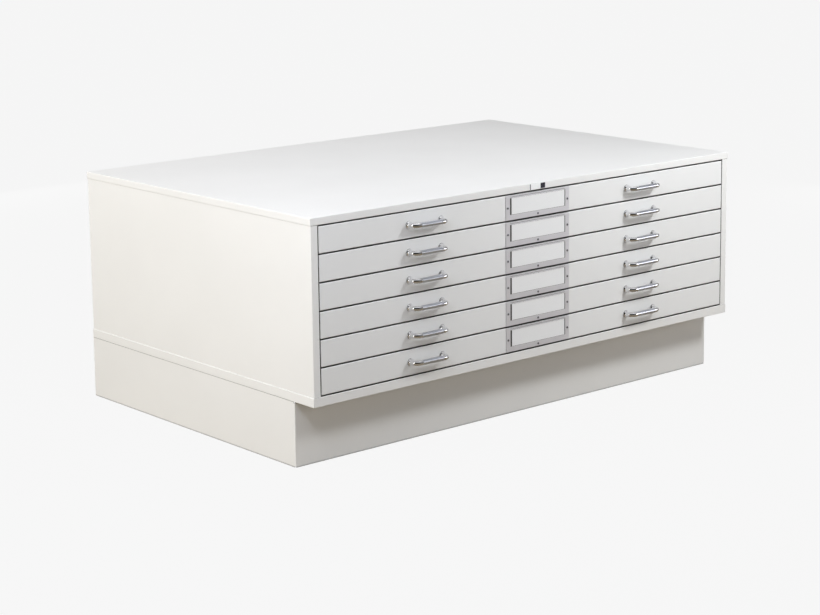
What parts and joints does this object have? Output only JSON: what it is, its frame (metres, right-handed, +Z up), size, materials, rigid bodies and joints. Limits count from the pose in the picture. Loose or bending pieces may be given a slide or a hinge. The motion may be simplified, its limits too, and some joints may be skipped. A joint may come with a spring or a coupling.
{
  "type": "flat file cabinet",
  "caption": "Low steel flat file cabinet on a recessed plinth, with shallow full-width drawers, bow handles and label holders, for large drawings and prints.",
  "frame": {"origin": "on the floor, under the middle of the outer box with every drawer shut", "axes": "+Z up, -Y towards the person who opens the drawers, +X to the right along the width"},
  "size_m": [1.35, 0.927, 0.57],
  "materials": {
    "case_paint": "fine textured powder coat",
    "front_paint": "fine textured powder coat",
    "tray_paint": "satin powder coat",
    "handle_chrome": "satin grip with polished bends",
    "label_metal": "satin",
    "label_card": "matt card",
    "fastener_steel": "satin, slightly dark",
    "zinc_steel": "zinc plated",
    "nameplate_white": "gloss",
    "nameplate_dark": "gloss"
  },
  "bodies": {
    "cabinet": {"top_cap": "case_paint", "left_side_panel": "case_paint", "right_side_panel": "case_paint", "back_panel": "case_paint", "bottom_deck": "case_paint", "plinth_skirt": "case_paint", "plinth_back": "case_paint", "slide_uprights": "zinc_steel", "case_screws": "zinc_steel", "nameplate": "nameplate_white", "nameplate_inlay": "nameplate_dark", "fixed_runners": "zinc_steel"},
    "drawer_1": {"drawer_1_front": "front_paint", "drawer_1_tray": "tray_paint", "drawer_1_handles": "handle_chrome", "drawer_1_label_frame": "label_metal", "drawer_1_label_card": "label_card", "drawer_1_fasteners": "fastener_steel", "drawer_1_inner_runners": "zinc_steel"},
    "drawer_1_middle_runners": {"drawer_1_middle_runners": "zinc_steel"},
    "drawer_2": {"drawer_2_front": "front_paint", "drawer_2_tray": "tray_paint", "drawer_2_handles": "handle_chrome", "drawer_2_label_frame": "label_metal", "drawer_2_label_card": "label_card", "drawer_2_fasteners": "fastener_steel", "drawer_2_inner_runners": "zinc_steel"},
    "drawer_2_middle_runners": {"drawer_2_middle_runners": "zinc_steel"},
    "drawer_3": {"drawer_3_front": "front_paint", "drawer_3_tray": "tray_paint", "drawer_3_handles": "handle_chrome", "drawer_3_label_frame": "label_metal", "drawer_3_label_card": "label_card", "drawer_3_fasteners": "fastener_steel", "drawer_3_inner_runners": "zinc_steel"},
    "drawer_3_middle_runners": {"drawer_3_middle_runners": "zinc_steel"},
    "drawer_4": {"drawer_4_front": "front_paint", "drawer_4_tray": "tray_paint", "drawer_4_handles": "handle_chrome", "drawer_4_label_frame": "label_metal", "drawer_4_label_card": "label_card", "drawer_4_fasteners": "fastener_steel", "drawer_4_inner_runners": "zinc_steel"},
    "drawer_4_middle_runners": {"drawer_4_middle_runners": "zinc_steel"},
    "drawer_5": {"drawer_5_front": "front_paint", "drawer_5_tray": "tray_paint", "drawer_5_handles": "handle_chrome", "drawer_5_label_frame": "label_metal", "drawer_5_label_card": "label_card", "drawer_5_fasteners": "fastener_steel", "drawer_5_inner_runners": "zinc_steel"},
    "drawer_5_middle_runners": {"drawer_5_middle_runners": "zinc_steel"},
    "drawer_6": {"drawer_6_front": "front_paint", "drawer_6_tray": "tray_paint", "drawer_6_handles": "handle_chrome", "drawer_6_label_frame": "label_metal", "drawer_6_label_card": "label_card", "drawer_6_fasteners": "fastener_steel", "drawer_6_inner_runners": "zinc_steel"},
    "drawer_6_middle_runners": {"drawer_6_middle_runners": "zinc_steel"}
  },
  "joints": [
    {"name": "drawer_1_slide", "type": "slide", "parent": "cabinet", "child": "drawer_1", "axis": [0, -1, 0], "range_m": [0, 0.8]},
    {"name": "drawer_1_middle_slide", "type": "slide", "parent": "cabinet", "child": "drawer_1_middle_runners", "axis": [0, -1, 0], "range_m": [0, 0.4]},
    {"name": "drawer_2_slide", "type": "slide", "parent": "cabinet", "child": "drawer_2", "axis": [0, -1, 0], "range_m": [0, 0.8]},
    {"name": "drawer_2_middle_slide", "type": "slide", "parent": "cabinet", "child": "drawer_2_middle_runners", "axis": [0, -1, 0], "range_m": [0, 0.4]},
    {"name": "drawer_3_slide", "type": "slide", "parent": "cabinet", "child": "drawer_3", "axis": [0, -1, 0], "range_m": [0, 0.8]},
    {"name": "drawer_3_middle_slide", "type": "slide", "parent": "cabinet", "child": "drawer_3_middle_runners", "axis": [0, -1, 0], "range_m": [0, 0.4]},
    {"name": "drawer_4_slide", "type": "slide", "parent": "cabinet", "child": "drawer_4", "axis": [0, -1, 0], "range_m": [0, 0.8]},
    {"name": "drawer_4_middle_slide", "type": "slide", "parent": "cabinet", "child": "drawer_4_middle_runners", "axis": [0, -1, 0], "range_m": [0, 0.4]},
    {"name": "drawer_5_slide", "type": "slide", "parent": "cabinet", "child": "drawer_5", "axis": [0, -1, 0], "range_m": [0, 0.8]},
    {"name": "drawer_5_middle_slide", "type": "slide", "parent": "cabinet", "child": "drawer_5_middle_runners", "axis": [0, -1, 0], "range_m": [0, 0.4]},
    {"name": "drawer_6_slide", "type": "slide", "parent": "cabinet", "child": "drawer_6", "axis": [0, -1, 0], "range_m": [0, 0.8]},
    {"name": "drawer_6_middle_slide", "type": "slide", "parent": "cabinet", "child": "drawer_6_middle_runners", "axis": [0, -1, 0], "range_m": [0, 0.4]}
  ],
  "couplings": [
    {"joint": "drawer_1_middle_slide", "follows": "drawer_1_slide", "ratio": 0.5},
    {"joint": "drawer_2_middle_slide", "follows": "drawer_2_slide", "ratio": 0.5},
    {"joint": "drawer_3_middle_slide", "follows": "drawer_3_slide", "ratio": 0.5},
    {"joint": "drawer_4_middle_slide", "follows": "drawer_4_slide", "ratio": 0.5},
    {"joint": "drawer_5_middle_slide", "follows": "drawer_5_slide", "ratio": 0.5},
    {"joint": "drawer_6_middle_slide", "follows": "drawer_6_slide", "ratio": 0.5}
  ]
}
